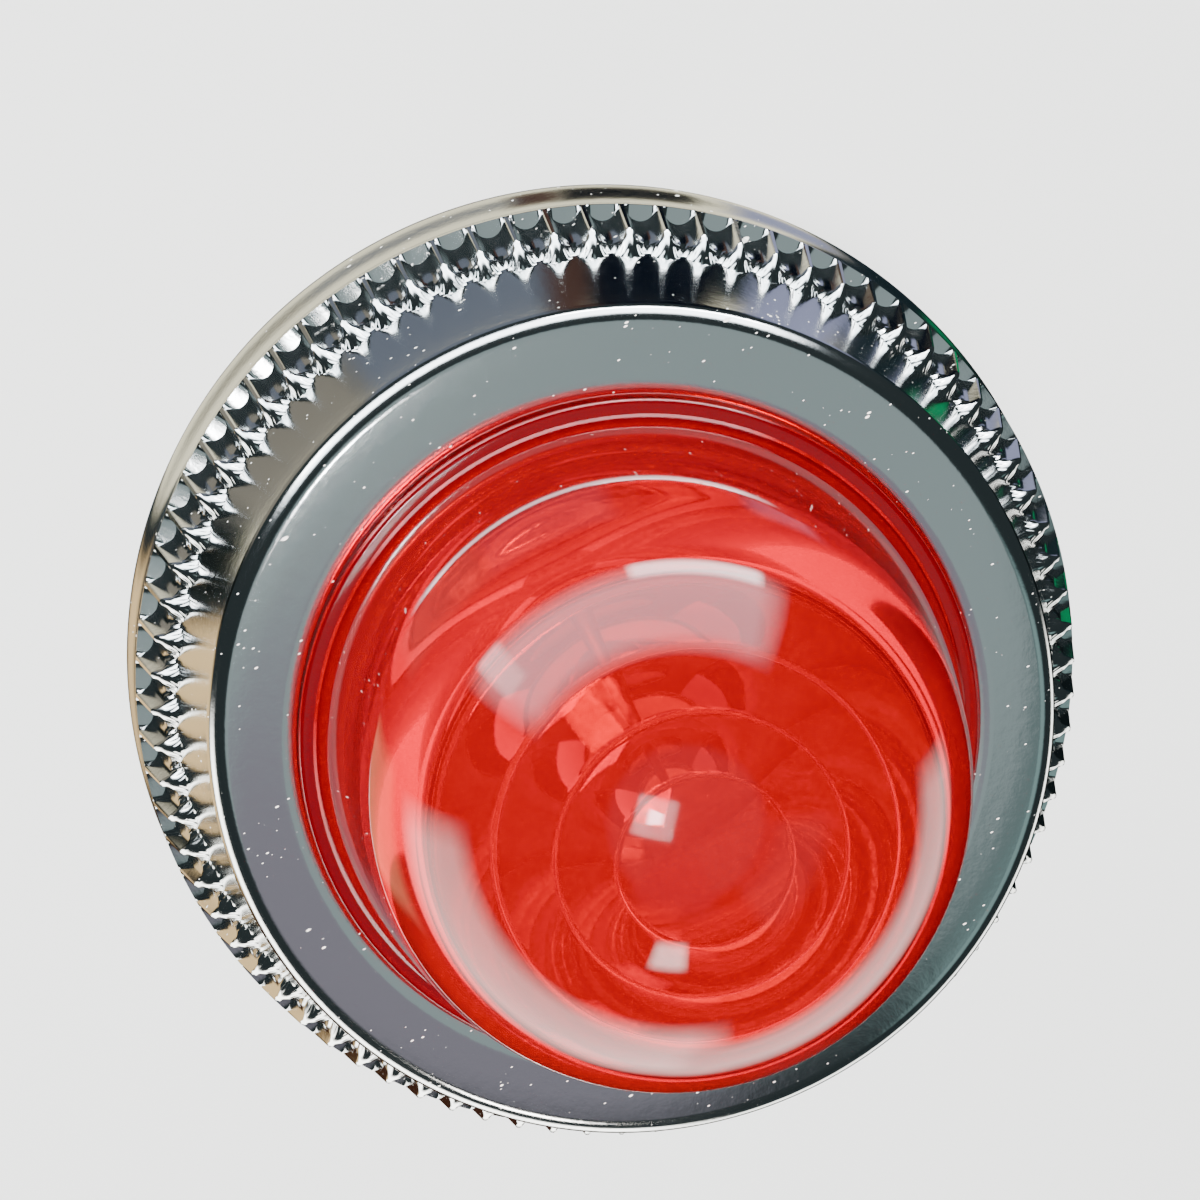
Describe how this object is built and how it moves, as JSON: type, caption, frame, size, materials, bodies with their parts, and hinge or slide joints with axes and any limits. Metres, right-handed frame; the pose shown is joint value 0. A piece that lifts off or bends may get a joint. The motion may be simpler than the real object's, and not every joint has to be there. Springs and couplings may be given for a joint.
{
  "type": "panel pilot light",
  "caption": "Panel indicator light with a knurled screw-on cap, a red stepped dome lens, a threaded bushing with nut, and a screw lamp held in a socket on a bracket.",
  "frame": {"origin": "centre of the panel hole, on the rear face of the panel gasket where the light seats on the front of its panel", "axes": "+Z along the light's axis out of the panel towards the lens, +X towards one leg of the socket bracket, +Y towards the screw-shell terminal"},
  "size_m": [0.0384, 0.0384, 0.0786],
  "materials": {
    "chrome_plate": "bright chrome plate on brass, dusty and pitted",
    "red_glass": "polished transparent deep red glass",
    "black_rubber": "matt black rubber",
    "spring_steel": "bright spring steel",
    "nickel_plate": "satin nickel plate on brass",
    "plated_steel": "zinc plated steel",
    "brown_phenolic": "moulded dark brown phenolic",
    "contact_brass": "stamped brass, lightly tarnished",
    "red_fibre": "vulcanised fibre, matt",
    "screw_brass": "nickel plated brass screw",
    "tinned_brass": "tinned brass",
    "lamp_glass": "clear blown glass",
    "lamp_wire": "drawn wire, dull grey",
    "lamp_brass": "rolled thin brass",
    "black_glass": "glossy black glass insulator",
    "solder": "dull tin solder"
  },
  "bodies": {
    "housing": {"bushing": "nickel_plate", "panel_gasket": "black_rubber", "socket_bracket": "plated_steel", "bracket_rivets": "nickel_plate", "socket_body": "brown_phenolic", "screw_shell": "contact_brass", "contact_guide": "contact_brass", "contact_spring": "spring_steel", "shell_eyelet": "contact_brass", "rear_insulator": "red_fibre", "center_terminal": "contact_brass", "shell_terminal": "contact_brass"},
    "cap_seal": {"cap_gasket": "black_rubber"},
    "lens_cap": {"bezel": "chrome_plate", "lens": "red_glass", "lens_gasket": "black_rubber", "lens_snap_ring": "spring_steel"},
    "washer": {"lock_washer": "plated_steel"},
    "nut": {"mounting_nut": "nickel_plate"},
    "plunger": {"contact_plunger": "contact_brass"},
    "lamp_contact": {"lamp_tip": "solder"},
    "lamp": {"lamp_bulb": "lamp_glass", "lamp_stem": "lamp_glass", "lamp_filament": "lamp_wire", "lamp_base": "lamp_brass", "lamp_base_insulator": "black_glass"},
    "shell_wire_washer": {"shell_screw_washer": "tinned_brass"},
    "shell_wire_screw": {"shell_screw": "screw_brass"},
    "center_wire_washer": {"center_screw_washer": "tinned_brass"},
    "center_wire_screw": {"center_screw": "screw_brass"}
  },
  "joints": [
    {"name": "cap_lift", "type": "slide", "parent": "housing", "child": "cap_seal", "axis": [0, 0, 1], "range_m": [0, 0.0064]},
    {"name": "cap_turn", "type": "hinge", "parent": "cap_seal", "child": "lens_cap", "pos_m": [0, 0, 0], "axis": [0, 0, 1], "range_deg": [0, 1800]},
    {"name": "nut_travel", "type": "slide", "parent": "housing", "child": "washer", "axis": [0, 0, -1], "range_m": [-0.0021, 0.0102]},
    {"name": "nut_turn", "type": "hinge", "parent": "washer", "child": "nut", "pos_m": [0, 0, 0], "axis": [0, 0, -1], "range_deg": [-540, 2880]},
    {"name": "lamp_lift", "type": "slide", "parent": "housing", "child": "lamp_contact", "axis": [0, 0, 1], "range_m": [0, 0.0026]},
    {"name": "lamp_turn", "type": "hinge", "parent": "lamp_contact", "child": "lamp", "pos_m": [0, 0, 0], "axis": [0, 0, 1], "range_deg": [0, 360]},
    {"name": "plunger_press", "type": "slide", "parent": "housing", "child": "plunger", "axis": [0, 0, -1], "range_m": [0, 0.001], "stiffness_N_per_m": 400, "springref_m": -0.002, "deforming": ["contact_spring"]},
    {"name": "shell_screw_travel", "type": "slide", "parent": "housing", "child": "shell_wire_washer", "axis": [0, 1, 0], "range_m": [0, 0.002]},
    {"name": "shell_screw_turn", "type": "hinge", "parent": "shell_wire_washer", "child": "shell_wire_screw", "pos_m": [0, 0, -0.0418], "axis": [0, 1, 0], "range_deg": [0, 1441]},
    {"name": "center_screw_travel", "type": "slide", "parent": "housing", "child": "center_wire_washer", "axis": [0, -1, 0], "range_m": [0, 0.002]},
    {"name": "center_screw_turn", "type": "hinge", "parent": "center_wire_washer", "child": "center_wire_screw", "pos_m": [0, 0, -0.0418], "axis": [0, -1, 0], "range_deg": [0, 1441]}
  ],
  "couplings": [
    {"joint": "cap_lift", "follows": "cap_turn", "m_per_rad": 0.00020213},
    {"joint": "nut_travel", "follows": "nut_turn", "m_per_rad": 0.00020213},
    {"joint": "lamp_lift", "follows": "lamp_turn", "m_per_rad": 0.00040425},
    {"joint": "shell_screw_turn", "follows": "shell_screw_travel", "rad_per_m": 12566},
    {"joint": "center_screw_turn", "follows": "center_screw_travel", "rad_per_m": 12566}
  ]
}
